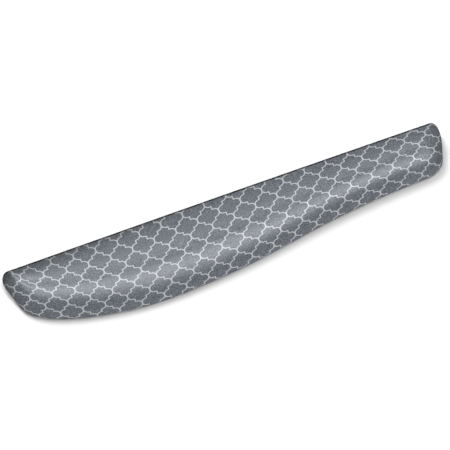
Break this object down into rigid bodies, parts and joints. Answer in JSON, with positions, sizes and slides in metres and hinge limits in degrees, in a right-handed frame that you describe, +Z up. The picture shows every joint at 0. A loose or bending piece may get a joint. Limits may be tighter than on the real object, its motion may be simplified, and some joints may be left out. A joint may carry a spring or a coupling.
{
  "type": "keyboard wrist rest",
  "caption": "Long low pad with a crowned fabric top and a wavy front edge, on a flat non-skid rubber sheet, for resting the wrists in front of a keyboard.",
  "frame": {"origin": "on the desk, at the centre of the underside of the bounding box", "axes": "+X along the length to the right, +Y towards the keyboard (the straight edge), -Y towards the user (the wavy edge), +Z up"},
  "size_m": [0.4601, 0.081, 0.02],
  "materials": {
    "non_skid_base": "matt, finely dimpled",
    "base_adhesive": "clear hot-melt film",
    "fabric_cover": "printed knit, grey with a light trellis",
    "plush_foam": "open-cell foam",
    "barrier_film": "thin clear film",
    "foam_core": "moulded foam"
  },
  "bodies": {
    "root": {"non_skid_base": "non_skid_base", "base_adhesive": "base_adhesive", "fabric_cover": "fabric_cover", "plush_foam": "plush_foam", "barrier_film": "barrier_film", "foam_core": "foam_core"}
  },
  "joints": []
}
